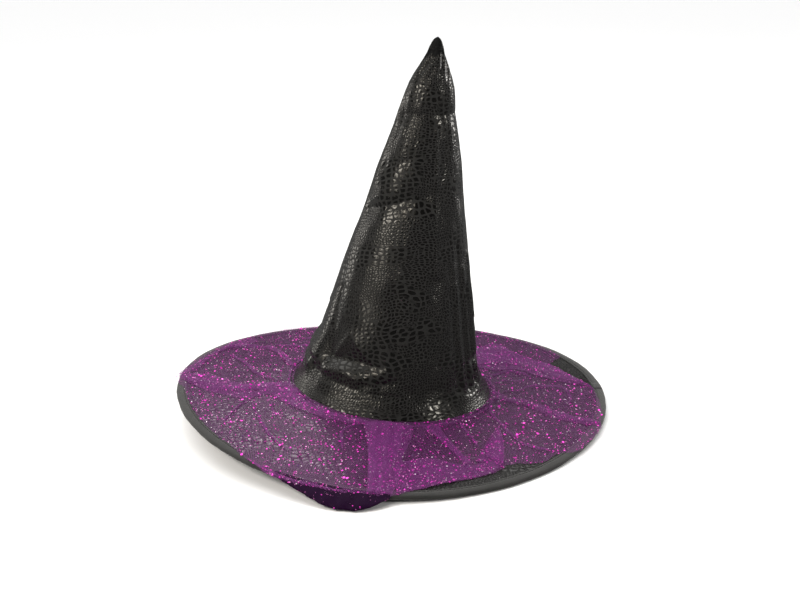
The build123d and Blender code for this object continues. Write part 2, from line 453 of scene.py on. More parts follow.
def tape_profile():
    """Folded tape round the edge: crowned legs, a stitched groove, a rolled outer edge."""
    inner, outer = TAPE_INNER, RIM
    top = [(inner, SEAT_LIFT + 0.05), (inner + 0.1, TAPE_TOP - 0.15), (inner + 0.6, TAPE_TOP)]
    top += [(GROOVE - 0.5, TAPE_TOP), (GROOVE, TAPE_TOP - 0.28), (GROOVE + 0.5, TAPE_TOP + 0.02)]
    top += [(GROOVE + 1.8, TAPE_TOP + 0.16), (outer - 3.4, TAPE_TOP + 0.1)]
    middle = TAPE_TOP / 2
    edge = [
        (outer - 2.2 + 2.2 * cos(a), middle + (middle + 0.02) * sin(a))
        for a in np.linspace(pi / 2 - 0.2, -pi / 2 + 0.2, 9)
    ]
    under = [(outer - 3.4, 0.0), (GROOVE + 0.5, 0.02), (GROOVE, 0.25), (GROOVE - 0.5, 0.05)]
    under += [(inner + 0.6, 0.0), (inner + 0.1, 0.15), (inner, TAPE - 0.05)]
    inside = [(outer - 1.2, TAPE), (outer - 0.75, middle), (outer - 1.2, SEAT_LIFT)]
    return top + edge + under + inside


def rim_ring(turns, radius, lift, run):
    """A ring of points lift mm above the brim's underside, a little uneven as sewn tape is."""
    r = radius + (0.18 * np.sin(23 * turns + 0.4 * run) + 0.08 * np.sin(71 * turns))
    return raised(polar(r, turns), brim_height(turns, r) + lift)


binding = closed_profile("edge_binding", tape_profile(), BRIM_COLUMNS, rim_ring, RIM, tape_cloth)
sew_on(binding, "binding_tape", "brim_edge_binding")


def lap_cloth(start=1.3, end=5.2):
    """The turned-under end of the tape: a soft rounded strip across the binding."""
    rows, columns = 19, 13
    across, share = np.meshgrid(np.linspace(0, 1, rows), np.linspace(0, 1, columns), indexing="ij")
    radius = TAPE_INNER + (TAPE_WIDTH - 0.2) * across
    turn = np.radians(start + (end - start) * share)
    crest = 0.75 * (1 - (2 * share - 1) ** 6) * (1 - (2 * across - 1) ** 8)
    drop = 0.9 * np.maximum(0, (across - 0.72) / 0.28) ** 2
    low = brim_height(turn, radius) + TAPE_TOP - drop
    points = [raised(polar(radius, turn), low + lift) for lift in (crest + 0.15, 0.08)]
    points = np.concatenate(points).reshape(-1, 3)
    index = np.arange(rows * columns).reshape(rows, columns)
    ring = [*index[0], *index[1:, -1], *index[-1, -2::-1], *index[-2:0:-1, 0]]
    faces = grid_faces(rows, columns, flip=True) + grid_faces(rows, columns, start=index.size)
    faces += edge_faces(ring, index.size)
    lap = piece("binding_lapped_end", points, faces, uv=points[:, 1::-1], materials=[tape_cloth])
    sew_on(lap, "binding_tape", "binding_lap")


lap_cloth()
STITCH = ((-0.5, 0.3, 0.6), (-0.36, 0.9, 0.1), (0, 1, 0), (0.36, 0.9, 0.1), (0.5, 0.3, 0.6))


def stitches(name, radius, lift, pitch=3.6, length=2.9, thickness=0.45):
    """A row of short thread stitches round the brim, their ends sunk into the tape. Each is
    drawn by STITCH: (place along it, thickness, depth) as shares."""
    share, swell, sink = np.array(STITCH).T[..., None]
    up = np.array([0, 0, 1.0])
    points, faces = [], []
    for t in circle(int(2 * pi * radius / pitch)):
        out, along = np.array([cos(t), sin(t), 0]), np.array([-sin(t), cos(t), 0])
        middle = out * radius + up * (brim_height(t, radius) + lift)
        centres = middle + along * length * share - up * thickness * sink
        faces += tube_faces(len(STITCH), start=len(points) * len(STITCH) * TUBE_SIDES, flip=True)
        points.append(tube(centres, -out, up, thickness * 0.5 * swell[..., None]))
    row = piece(name, np.reshape(points, (-1, 3)), faces, materials=[thread_cloth])
    sew_on(row, "sewing_thread")


stitches("binding_stitches_top", GROOVE, TAPE_TOP - 0.1)
stitches("binding_stitches_under", GROOVE, 0.1)

INSIDE = {"brim_wire": wire_metal, "wire_sleeve": sleeve_metal, "brim_stiffener": board_felt}
for node, look in INSIDE.items():
    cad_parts[node].data.materials.clear()
    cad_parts[node].data.materials.append(look)

# ---- crown
# outline of the gathered point, above the straight cone: (height, radius)
POINT = [(286, 19.8), (296, 15.6), (302, 12.7), (307.5, 10.0), (313, 7.6), (316.5, 6.4), (319.5, 5.4)]
POINT += [(322, 4.6), (324, 3.7), (326, 2.3), (TIP_TOP, 0.5)]


def crown_radius(height):
    """The crown's outside without its creases: flared foot, cone, gathered point."""
    foot = np.interp(height, *zip(*HEM_FLARE))
    point = np.interp(height, *zip(*POINT))
    cone = CONE_FOOT - CONE_TAPER * height
    return np.where(height < FOOT_TOP, foot, np.where(height > POINT[0][0], point, cone))


# Creases in the cloth: (start, end, depth, reach above, reach below) in mm, where start and
# end are (height up the axis, turn in degrees). Reach is right and left for upright ones.
VALLEYS = [
    ((259, -150), (264, -88), 3.2, 6, 12),
    ((264, -88), (264, -10), 3.0, 6, 12),
    ((264, -10), (258, 70), 1.5, 8, 10),
    ((173, -160), (181, -130), 4.6, 9, 15),
    ((181, -130), (189, -106), 5.0, 9, 16),
    ((189, -106), (195, -82), 3.6, 8, 13),
    ((214, -150), (222, -118), 2.2, 7, 9),
    ((105, -100), (72, -94), 1.8, 9, 9),
    ((72, -94), (33, -88), 2.4, 7, 8),
    ((38, -146), (42, -127), 6.5, 20, 5),
    ((42, -127), (43, -108), 5.5, 20, 5),
    ((26, -112), (33, -92), 3.0, 7, 6),
    ((33, -92), (24, -80), 2.0, 6, 5),
    ((134, -50), (24, -43), 1.5, 5, 4),
    ((152, -37), (20, -31), 2.0, 5, 5),
    ((113, -25), (22, -19), 2.3, 4, 5),
    ((46, -26), (44, 2), 3.0, 3, 5),
    ((120, -9), (30, -8), 1.6, 4, 4),
    ((98, -158), (64, -150), 2.2, 6, 6),
    ((21.5, -160), (21.5, -137), 2.6, 6, 1.2),
    ((21.5, -137), (20.5, -85), 2.2, 5, 1.2),
    ((90, 42), (40, 60), 2.6, 10, 10),
    ((178, 20), (186, 75), 3.2, 10, 14),
    ((150, 95), (110, 130), 2.2, 12, 12),
    ((60, 140), (48, 185), 2.4, 12, 9),
]
RIDGES = [
    ((27, -147), (34, -127), 3.0, 5, 6),
    ((34, -127), (28, -106), 2.6, 5, 6),
    ((34, -205), (32, -162), 4.5, 24, 10),
    ((23, -205), (23, -165), 4.6, 12, 9),
    ((66, -131), (30, -148), 1.8, 5, 5),
    ((66, -131), (43, -107), 1.8, 5, 5),
    ((130, -66), (252, -72), 2.0, 4, 5),
    ((130, -30), (26, -25), 1.5, 4, 3),
    ((142, -18), (22, -13), 1.6, 4, 4),
    ((118, -43), (26, -37), 1.2, 4, 3),
    ((202, -160), (236, -122), 1.8, 12, 12),
]


def fold_reach(height, turn, fold):
    """How much of one crease is felt at points of the crown, easing off at its ends."""
    (h0, a0), (h1, a1), depth, above, below = fold
    radius = CONE_FOOT - CONE_TAPER * (h0 + h1) / 2
    middle = radians((a0 + a1) / 2)
    side = (turn - middle + pi) % (2 * pi) - pi
    run = np.array([radians(a1 - a0) * radius, h1 - h0])
    length = hypot(*run)
    x = side * radius + run[0] / 2
    y = height - h0
    share = (x * run[0] + y * run[1]) / length**2
    away = (y * run[0] - x * run[1]) / length * (1 if run[0] > 0 else -1)
    across = np.abs(away) / np.where(away > 0, above, below)
    past = np.maximum(np.maximum(-share, share - 1), 0) * length
    fade = 0.4 * (above + below)
    return depth * np.exp(-1.6 * across) * (1 + 0.7 * across) * np.exp(-((past / fade) ** 2))


def dent(height, turn):
    """The crown's departure from its outline, outwards, in mm."""
    valleys, ridges = (
        np.max([fold_reach(height, turn, fold) for fold in folds], axis=0) for folds in (VALLEYS, RIDGES)
    )
    place = raised(polar(70, turn), height)
    slow = lumps(place, 52, seed=3.1)
    quick = lumps(place * [1, 1, 0.5], 12, seed=8.7, octaves=3)
    out = ridges - valleys + 0.9 * slow + 0.32 * quick
    held = smooth((height + 1) / 16) * (1 - smooth((height - 272) / 26))
    drawn = smooth((height - 284) / 16) * (1 - 0.7 * smooth((height - 314) / 8))
    gathers = 0.45 * np.sin(5 * turn + 0.09 * height) + 0.4 * np.sin(11 * turn - 0.3 * height)
    return out * held + gathers * drawn


def foot_lift(turn):
    """The hem stands on the gathered net, which is thickest at the front."""
    front = smooth((-np.sin(turn) - 0.1) / 0.8)
    return 2.1 + 3.2 * front + 0.25 * np.sin(7 * turn) + 0.15 * np.sin(13 * turn)


def crown_point(height, turn, inset):
    """A point of the crown's wall in mm, inset inwards from the cloth's outside."""
    height = height + foot_lift(turn) * (1 - smooth((height + 1.2) / 19))
    outline = crown_radius(height)
    radius = outline + dent(height, turn) - np.minimum(inset, 0.7 * outline)
    share = smooth((height - 16) / (FOOT_TOP - 16))[..., None]
    up = BASE_UP * (1 - share) + AXIS * share
    across = BASE_ACROSS * (1 - share) + ACROSS * share
    h, a, r = height[..., None], turn[..., None], radius[..., None]
    return FOOT + up * h + (across * np.cos(a) + BACK * np.sin(a)) * r


HALF_ANGLE = float(np.arctan(CONE_TAPER))
BACK_TURN = pi / 2  # the seam is at the back
SEAM_HALF = radians(3.0)
CROWN_COLUMNS = 300
CROWN_STEP = 1.7


def crown_flat(height, turn):
    """Where a point lies on the unrolled cone, in mm; turn counts on from the back seam."""
    slant = (CONE_FOOT / CONE_TAPER - height) / cos(HALF_ANGLE)
    spread = (turn - BACK_TURN - pi) * sin(HALF_ANGLE)
    return np.stack([slant * np.sin(spread), -slant * np.cos(spread)], -1)


# the crown's layers: how far their outside and inside lie within the outline, in mm
HEM_PLY = (0.0, 0.8)
CLOTH_PLY = (0.0, 1.5)
TUCKED_PLY = (0.85, 1.5)  # the cloth where it stands inside the hem band
LINING_PLY = (1.55, 2.3)
SEAM_PLY = (2.35, 3.4)


def crown_wall(name, bottom, top, ply, materials, seam=False, columns=CROWN_COLUMNS, cap=None):
    """A closed layer of the crown. It follows every crease, and is shaded as part of the
    whole crown. A seam is only a strip of it, at the back. cap is the height above which the
    second material begins."""
    rows = max(3, int((top - bottom) / CROWN_STEP) + 1)
    step = (top - bottom) / (rows - 1)
    side = 2 * SEAM_HALF / (columns - 1) if seam else 2 * pi / columns
    turns = BACK_TURN - (SEAM_HALF if seam else 0) + side * np.arange(-1, columns + 1)
    h, a = np.meshgrid(bottom + step * np.arange(-1, rows + 1), turns, indexing="ij")
    points, normals = [], []
    for inset, way in zip(ply, (1, -1)):
        grid = crown_point(h, a, np.full_like(h, inset))
        normal = np.cross(grid[1:-1, 2:] - grid[1:-1, :-2], grid[2:, 1:-1] - grid[:-2, 1:-1])
        points.append(grid[1:-1, 1:-1].reshape(-1, 3))
        normals.append(way * unit(normal).reshape(-1, 3))
    count = rows * columns
    faces = grid_faces(rows, columns, wrap=not seam)
    faces += grid_faces(rows, columns, wrap=not seam, start=count, flip=True)
    wide = columns if seam else columns + 1
    flat = crown_flat(h[1:-1, 1:], a[1:-1, 1:] + 1e-9)[:, :wide]
    quads = np.stack([flat[:-1, :-1], flat[:-1, 1:], flat[1:, 1:], flat[1:, :-1]], 2)
    uv = [quads.reshape(-1, 2), quads[:, :, ::-1].reshape(-1, 2)]
    index = np.arange(rows)[:, None] * columns + np.arange(wide) % columns
    edges = [(index[0], flat[0]), (index[-1, ::-1], flat[-1, ::-1])]
    if seam:
        edges += [(index[:, -1], flat[:, -1]), (index[::-1, 0], flat[::-1, 0])]
    walls = []
    for ring, place in edges:
        here, ahead = ring[:-1], ring[1:]
        walls += np.stack([ahead, here, here + count, ahead + count], -1).tolist()
        uv.append(np.stack([place[1:], place[:-1], place[:-1], place[1:]], 1).reshape(-1, 2))
    wall = piece(name, np.concatenate(points), faces + walls, materials=materials)
    wall.data.uv_layers.new(name="flat").data.foreach_set("uv", np.concatenate(uv).ravel())
    if cap:
        row_of, column_of = np.divmod(np.arange(len(faces) // 2), columns)
        turn_of = turns[1 + column_of]
        ragged = 3.5 * np.sin(turn_of + 2.6) + 1.2 * np.sin(5 * turn_of)
        matt = (bottom + row_of * step > cap + ragged).astype(np.int32)
        looks = np.concatenate([matt, matt, np.zeros(len(walls), np.int32)])
        wall.data.polygons.foreach_set("material_index", looks)
    shading = np.concatenate(normals)[np.array(faces).ravel()]
    ends = np.array([wall.data.polygons[len(faces) + i].normal[:] for i in range(len(walls))])
    wall.data.normals_split_custom_set(np.concatenate([shading, np.repeat(ends, 4, axis=0)]).tolist())
    return wall


def up_axis(height):
    return tuple((FOOT + AXIS * height) * MM)


SPLIT_LOW = 78.0  # the cloth is cut here, in the stiff lengths between the folds
SPLIT_HIGH = 206.0
MATT_FROM = 309.0  # the drawn-up end shows the cloth's matt wrong side
LINING_TOP = 312.0
SEAM_TOP = 300.0
lengths = [  # part, bottom, top, the two bodies below and above it, a stretch up the axis (start, end), nodes it stands for
    (
        "foot", 0.4, SPLIT_LOW, ("brim", "crown_lower"), (tuple(FOOT * MM), up_axis(FOOT_TOP)),
        ("crown_base_fold", "crown_lower_shell"),
    ),
    (
        "waist", SPLIT_LOW, SPLIT_HIGH, ("crown_lower", "crown_middle"), tuple(map(up_axis, MID_FOLD)),
        ("crown_mid_fold", "crown_middle_shell"),
    ),
    (
        "top", SPLIT_HIGH, TIP_TOP, ("crown_middle", "crown_tip"), tuple(map(up_axis, TIP_FOLD)),
        ("crown_tip_fold", "crown_tip_shell", "crown_point"),
    ),
]
for part, bottom, top, (low_body, high_body), (start, end), nodes in lengths:
    ply = TUCKED_PLY if part == "foot" else CLOTH_PLY
    cloth = crown_wall(f"crown_cloth_{part}", bottom, top, ply, [skin, wrong_side], cap=MATT_FROM)
    lining_top, seam_top = min(top, LINING_TOP), min(top, SEAM_TOP)
    lining = crown_wall(
        f"crown_interlining_{part}", bottom + 0.6, lining_top, LINING_PLY, [fused_felt], columns=200
    )
    seam = crown_wall(f"crown_seam_{part}", bottom + 1.2, seam_top, SEAM_PLY, [skin], seam=True, columns=7)
    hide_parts(*nodes)
    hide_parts(high_body + "_interlining")
    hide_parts(high_body + "_back_seam")
    for thing, slot in ((cloth, "snakeskin_cloth"), (lining, "interlining"), (seam, "snakeskin_cloth")):
        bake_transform(thing)

hem_band = crown_wall("crown_hem_cloth", HEM_LOW, HEM_TOP, HEM_PLY, [skin])
sew_on(hem_band, "snakeskin_cloth", "crown_hem_band")


def foot_ring(turns, radius, height, *_):
    """A ring of points in the crown's tilted foot plane."""
    ring = BASE_ACROSS * np.cos(turns)[:, None] + BACK * np.sin(turns)[:, None]
    return FOOT + BASE_UP * height + ring * radius


def ribbon_profile(radius, thickness, low, high, ribs=6):
    """Ribbed grosgrain, seen end on, with a rounded edge at the top and bottom."""
    heights = np.linspace(low, high, 4 * ribs + 1)
    swell = 0.07 * np.abs(np.sin(np.linspace(0, ribs * pi, len(heights))))
    outer = [(radius + thickness - 0.1 + s, h) for s, h in zip(swell, heights)]
    inner = [(radius + 0.1 - s, h) for s, h in zip(swell, heights)]
    middle = radius + thickness / 2
    return outer + [(middle, high + 0.05)] + inner[::-1] + [(middle, low - 0.05)]


SWEATBAND_RADIUS, SWEATBAND_PLY = 88.0, 1.0
SWEATBAND_LOW, SWEATBAND_TOP = -4.35, 2.95
RING_COLUMNS = 360
outline = ribbon_profile(SWEATBAND_RADIUS, SWEATBAND_PLY, SWEATBAND_LOW, SWEATBAND_TOP)
sweatband = closed_profile(
    "sweatband_ribbon", outline, RING_COLUMNS, foot_ring, outline[0][0], band_cloth
)
sew_on(sweatband, "sweatband_ribbon", "sweatband")


def twisted(name, line, radius, strand, node, body, closed=True, turns_a_step=1 / 9):
    """Two strands of thread laid round a centre line of points in mm."""
    ahead = unit(np.roll(line, -1, 0) - np.roll(line, 1, 0) if closed else np.gradient(line, axis=0))
    side = unit(np.cross(ahead, (0, 0, 1.0)))
    up = np.cross(side, ahead)
    phase = turns_a_step * 2 * pi * np.arange(len(line))[:, None]
    points, faces = [], []
    for start, shift in ((0, 0), (len(line) * TUBE_SIDES, pi)):
        centres = line + radius * (side * np.cos(phase + shift) + up * np.sin(phase + shift))
        points.append(tube(centres, side, up, strand).reshape(-1, 3))
        if closed:
            faces += grid_faces(len(line), TUBE_SIDES, wrap=True, start=start, close=True)
        else:
            faces += tube_faces(len(line), start=start, flip=True)
    thread = piece(name, np.concatenate(points), faces, materials=[thread_cloth])
    sew_on(thread, "sewing_thread", node, body=body)


GATHER_RADIUS, GATHER_HEIGHT = 95.3, 1.6
gather_line = foot_ring(circle(RING_COLUMNS), GATHER_RADIUS, GATHER_HEIGHT)
twisted("gathering_thread", gather_line, 0.24, 0.26, "tulle_gathering_thread", "brim")

WIND_FROM, WIND_LENGTH, WIND_TURNS = 316.6, 2.9, 4
wind = np.linspace(0, WIND_TURNS * 2 * pi, 150)[:, None]
wind_height = WIND_FROM + WIND_LENGTH * wind / wind[-1]
wind_radius = crown_radius(wind_height) + 0.1
wind_line = FOOT + AXIS * wind_height + wind_radius * (ACROSS * np.cos(wind) + BACK * np.sin(wind))
twisted("point_winding", wind_line, 0.2, 0.24, "point_thread", "crown_tip", closed=False)

# ---- tulle
TULLE_STEP = 1.9
NET_REST = 0.3  # the net lies this far above what it covers
NET_MIDDLE = 150  # a length of net is laid flat at this radius


def net_floor(place):
    """Height of one loose layer of net at (x, y) on the brim, with its puffs and gathers."""
    x, y = place[..., 0], place[..., 1]
    radius, turn = np.hypot(x, y), np.arctan2(y, x)
    on_tape = smooth((radius - TAPE_INNER + 2) / 3)
    low = brim_height(turn, np.minimum(radius, RIM)) + SEAT_LIFT + NET_REST + (TAPE + 0.15) * on_tape
    low = low - 0.8 * np.maximum(radius - RIM - 0.5, 0)
    soft = lumps(raised(place, 0 * x), 33, seed=1.7)
    fine = lumps(raised(polar(15, turn), radius / 130), 1.0, seed=4.2, octaves=3)
    drawn = np.exp(-(radius - 95) / 24)
    puff = 0.8 + 1.0 * soft + (0.6 + 0.9 * drawn) * fine
    hem = 1 - 0.75 * smooth((radius - 182) / 14)
    climb = 0.8 * foot_lift(turn) * np.exp(-(((radius - 89) / 8.5) ** 2))
    held = 1 - 0.75 * np.exp(-(((radius - 91) / 5) ** 2))
    return np.maximum(low + np.maximum(puff, 0.0) * hem * held + climb, 0.5)


def path(points, count):
    """A smooth line through (radius, turn in degrees) points: count places (x, y) in mm."""
    way = np.array([(r * cos(radians(a)), r * sin(radians(a))) for r, a in points])
    run = np.concatenate([[0], np.cumsum(np.linalg.norm(np.diff(way, axis=0), axis=1))])
    slope = np.gradient(way, run, axis=0)
    at = np.linspace(0, run[-1], count)
    k = np.clip(np.searchsorted(run, at, side="right") - 1, 0, len(way) - 2)
    gap = (run[k + 1] - run[k])[:, None]
    t = ((at - run[k])[:, None]) / gap
    return (
        way[k] * (2 * t**3 - 3 * t**2 + 1) + slope[k] * gap * (t**3 - 2 * t**2 + t)
        + way[k + 1] * (3 * t**2 - 2 * t**3) + slope[k + 1] * gap * (t**3 - t**2)
    )


def path_length(points):
    return float(np.linalg.norm(np.diff(path(points, 60), axis=0), axis=1).sum())


class Net:
    """One length of tulle: a base layer with its folds, gathered into one mesh."""

    def __init__(self, seed):
        self.points, self.uv, self.faces = [], [], []
        self.count = 0
        self.rng = np.random.default_rng(seed)

    def put(self, points, uv, faces):
        self.faces += [tuple(self.count + i for i in face) for face in faces]
        self.points.append(points)
        self.uv.append(uv)
        self.count += len(points)

    def base(self, start, end, inner, outer):
        """The layer next to the brim, between two turns in degrees; outer is (turn, radius)."""
        columns = int(radians(end - start) * NET_MIDDLE / TULLE_STEP)
        rows = int((RIM - inner) / TULLE_STEP)
        turns = np.linspace(start, end, columns)
        reach = np.interp(turns, *zip(*outer))
        reach = reach + 0.35 * np.sin(turns * 1.9) + 0.25 * np.sin(turns * 4.3)
        radius = inner + (reach - inner) * np.linspace(0, 1, rows)[:, None]
        turn = np.radians(turns) + 0 * radius
        place = polar(radius, turn)
        uv = np.stack([turn * NET_MIDDLE, radius], -1).reshape(-1, 2)
        points = raised(place, net_floor(place)).reshape(-1, 3)
        self.put(points, uv, grid_faces(rows, columns, flip=True))

    def fold(self, left, right, rise=1.2, ridges=1, lift=0.25, taper=(0.15, 0.15), under=0.15):
        """Two more layers between two edges, joined along both, standing rise mm high."""
        along = max(4, int(max(path_length(left), path_length(right)) / TULLE_STEP))
        a, b = path(left, along)[:, None], path(right, along)[:, None]
        across = max(5, int(np.linalg.norm(b - a, axis=-1).max() / 1.5))
        t = np.linspace(0, 1, across)
        s = np.linspace(0, 1, along)[:, None]
        place = a * (1 - t[:, None]) + b * t[:, None]
        low = net_floor(place)
        ends = smooth(s / taper[0] + 0.1) * smooth((1 - s) / taper[1] + 0.1)
        wander = 0.25 * np.sin(2 * pi * s * along * TULLE_STEP / 37 + self.rng.uniform(0, 6))
        crease = np.abs(np.sin(pi * (ridges * t + wander * t * (1 - t))))
        wave = 1 + 0.22 * np.sin(2 * pi * s * along * TULLE_STEP / 23 + self.rng.uniform(0, 6))
        top = lift + rise * (ends * wave) * np.sin(pi * t) ** 0.6 * (0.45 + 0.55 * crease)
        top[:, 0] = top[:, -1] = lift
        ring = np.concatenate([raised(place, low + top), raised(place, low + under)[:, ::-1]], 1)
        angle = self.rng.uniform(-0.5, 0.5)
        shift = self.rng.uniform(-40, 40, 2)
        flat = ring[..., :2] @ np.array([[cos(angle), sin(angle)], [-sin(angle), cos(angle)]]) + shift
        self.put(ring.reshape(-1, 3), flat.reshape(-1, 2), tube_faces(along, 2 * across))

    def ridge(self, line, width, rise, ridges=1):
        """A narrow standing fold along a line, thinning out at its ends."""
        count = 24
        middle = path(line, count)
        ahead = unit(np.gradient(middle, axis=0))
        side = np.stack([-ahead[:, 1], ahead[:, 0]], -1)
        s = np.linspace(0, 1, count)[:, None]
        slim = 0.25 + 0.75 * smooth(s / 0.2) * smooth((1 - s) / 0.2)
        sway = 1 + 0.25 * np.sin(s * 9 + self.rng.uniform(0, 6))
        half = side * (width / 2 * slim * sway)
        edges = [
            [(hypot(x, y), degrees(atan2(y, x))) for x, y in edge[::2]]
            for edge in (middle + half, middle - half)
        ]
        self.fold(*edges, rise, ridges, taper=(0.2, 0.2))

    def roll(self, start, end, radius=96.0):
        """The gathered edge at the crown's foot: a thin roll of many small pleats."""
        columns, around = int(radians(end - start) * radius / 0.8), 14
        turns = np.radians(np.linspace(start, end, columns))[:, None]
        ring = circle(around)
        fan = raised(polar(70, turns), 0 * turns)
        slow = lumps(fan, 14, seed=2.4)
        size = 1.05 * (1 + 0.25 * lumps(fan, 2.0, seed=6.4) + 0.35 * slow)
        r = radius + 0.5 * slow + (1.2 * size) * np.cos(ring)
        middle = net_floor(polar(radius, turns)) - 0.1
        points = raised(polar(r, turns), middle + (0.8 * size) * np.sin(ring))
        uv = np.stack([turns * 210 + 0 * r, ring * 2.2 + 0 * r], -1)
        self.put(points.reshape(-1, 3), uv.reshape(-1, 2), tube_faces(columns, around))

    def made(self, name, node, material):
        """The net as one piece, in place of its CAD node."""
        points, uv = np.concatenate(self.points), np.concatenate(self.uv)
        sheet = piece(name, points, self.faces, uv=uv, materials=[material])
        sew_on(sheet, "glitter_tulle", node)
        return sheet


def sparkle(name, sheet, material, radius, count, seed, lowest=0.25):
    """Hexagonal foil flakes bonded to the upper side of a net, at random."""
    rng = np.random.default_rng(seed)
    mesh = sheet.data
    faces = len(mesh.polygons)
    area, normal, centre = np.empty(faces), np.empty((faces, 3)), np.empty((faces, 3))
    mesh.polygons.foreach_get("area", area)
    mesh.polygons.foreach_get("normal", normal.ravel())
    mesh.polygons.foreach_get("center", centre.ravel())
    centre /= MM
    area = np.where(normal[:, 2] > lowest, area, 0)
    chosen = rng.choice(faces, size=count, p=area / area.sum())
    spot = centre[chosen] + rng.uniform(-0.9, 0.9, (count, 3)) * [1, 1, 0]
    up = unit(normal[chosen] + rng.normal(0, 0.33, (count, 3)))
    side = unit(np.cross(up, rng.normal(0, 1, (count, 3))))
    size = rng.uniform(0.8, 1.2, count)[:, None, None] * radius
    points = tube(spot + up * 0.18 + [0, 0, 0.1], side, np.cross(up, side), size)
    hexagons = np.arange(TUBE_SIDES * count).reshape(-1, TUBE_SIDES).tolist()
    flakes = piece(name, points.reshape(-1, 3), hexagons, materials=[material], shade=False)
    sew_on(flakes, "glitter_tulle")
    return flakes


INNER_NET = 91.5

# left length: from the back round the left to the front
net = Net(11)
hem = [(62, 197), (90, 199), (112, 202), (120, 204), (128, 201), (138, 196), (158, 194)]
hem += [(170, 197), (179, 204), (184, 200), (188, 193), (196, 191), (224, 191.5), (233, 198)]
hem += [(241, 202), (252, 202), (261, 203)]
net.base(62, 261, INNER_NET, hem)
net.fold(
    [(192, 138), (192, 147), (190, 158), (193, 169), (202, 178)],
    [(176, 141), (181, 152), (186, 160), (185, 167), (188, 175), (198, 179)], 1.2, 2,
)
net.ridge(
    [(187, 160), (181, 152), (167, 148), (150, 146), (134, 148), (116, 154), (102, 162), (94, 168)],
    6.1, 3.0,
)
net.ridge([(152, 142), (137, 140), (122, 132), (104, 124)], 3.4, 1.8)
net.ridge([(160, 128), (140, 124), (118, 118), (100, 112)], 3.4, 1.5)
net.ridge([(180, 158), (161, 161), (138, 170), (126, 178), (117, 182), (97, 188)], 3.1, 1.6)
net.fold(
    [(201, 178), (176, 178), (157, 182), (137, 187), (117, 187), (95, 188)],
    [(199, 181), (183, 187), (170, 192), (155, 197), (137, 201), (121, 200), (108, 206), (95, 214)], 2.6, 3,
)
net.fold(
    [(196, 180), (170, 184), (140, 191), (117, 191), (95, 193)],
    [(194, 182), (172, 189), (150, 194), (126, 196), (104, 203), (95, 208)], 2.2, 2, lift=1.6, under=1.4,
)
net.fold(
    [(95, 200), (95, 222), (95, 245), (95, 260)], [(118, 202), (108, 222), (103, 240), (99, 259)], 2.6, 2
)
net.ridge([(137, 202), (150, 205), (165, 210), (177, 213)], 2.7, 1.1)
net.ridge([(137, 202), (141, 210), (147, 219), (156, 228), (162, 235), (165, 241)], 2.7, 1.3)
net.ridge([(121, 207), (127, 213), (133, 220)], 2.4, 1.0)
net.ridge([(96, 256), (102, 251), (111, 248), (131, 251), (144, 253)], 2.7, 1.3)
net.ridge([(197, 232), (201, 241), (202, 247), (201, 252), (202, 258), (203, 262)], 3.4, 1.1)
for start, end, width in ((74, 70, 6), (88, 92, 9), (104, 101, 5), (116, 110, 7)):
    net.ridge([(97, start), (130, (start + end) / 2), (186, end)], width, 1.8, 2)
net.roll(62, 261)
left_sheet = net.made("tulle_net_left", "tulle_left", tulle_net)

# front right length: its hem stops short of the binding
net = Net(12)
hem = [(-99, 203), (-96, 204), (-93, 205), (-89, 199), (-84, 191), (-78, 185), (-71, 182)]
hem += [(-60, 181), (-57, 176), (-54, 178), (-50, 186), (-47, 190), (-42, 188), (-39, 197)]
hem += [(-37, 201), (-30, 201), (-22, 202), (-20, 199), (-12, 196)]
net.base(-99, -12, INNER_NET, hem)
wedge_left = [(95, -105), (133, -99), (167, -97), (200, -96)]
wedge_right = [(95, -79), (103, -80), (121, -83), (140, -86), (175, -88), (198, -90)]
net.fold(wedge_left, wedge_right, 1.8, 3, taper=(0.05, 0.02))
net.fold(
    [(95, -101), (133, -98.5), (167, -96.5), (199, -95.5)],
    [(95, -84), (118, -86), (150, -89), (197, -92)], 1.6, 2, lift=1.5, under=1.3, taper=(0.05, 0.02),
)
net.fold(
    [(95, -75), (105, -71), (127, -69), (148, -68), (162, -68)],
    [(95, -64), (104, -65), (131, -65.5), (150, -65.5), (163, -65)], 2.2, 2,
)
net.fold(
    [(151, -90), (149, -86), (146, -81), (147, -76), (157, -70), (163, -66), (165, -62), (172, -58)],
    [(197, -89), (191, -84), (185, -78), (182, -71), (181, -66), (180, -62), (177, -59), (175, -57.5)],
    1.2, 3, taper=(0.02, 0.02),
)
wedge_tip = [(123, -40), (144, -48), (175, -57.5)]
net.fold([(123, -41), (138, -54), (160, -64)], wedge_tip, 1.4, 2, taper=(0.1, 0.02))
net.fold(
    [(127, -42), (142, -54), (158, -60)], wedge_tip, 1.2, 2, lift=1.5, under=1.3, taper=(0.1, 0.02)
)
net.ridge([(95, -20), (106, -31), (121, -37), (133, -38)], 3.1, 1.7)
net.ridge([(121, -37), (142, -42), (160, -44), (172, -43), (184, -40)], 3.4, 1.1)
net.ridge([(96, -52), (118, -55), (140, -58)], 2.7, 0.8)
net.fold(
    [(94, 3), (98, -1), (109, -9), (126, -12), (146, -16), (172, -19), (199, -20)],
    [(95, -10), (110, -14), (127, -16), (145, -20), (174, -22.5), (201, -22.5)], 3.2, 2, taper=(0.3, 0.1),
)
net.ridge([(95, 0), (101, -5), (98, -14)], 2.7, 1.5)
net.roll(-99, -12)
right_sheet = net.made("tulle_net_front_right", "tulle_front_right", tulle_net)

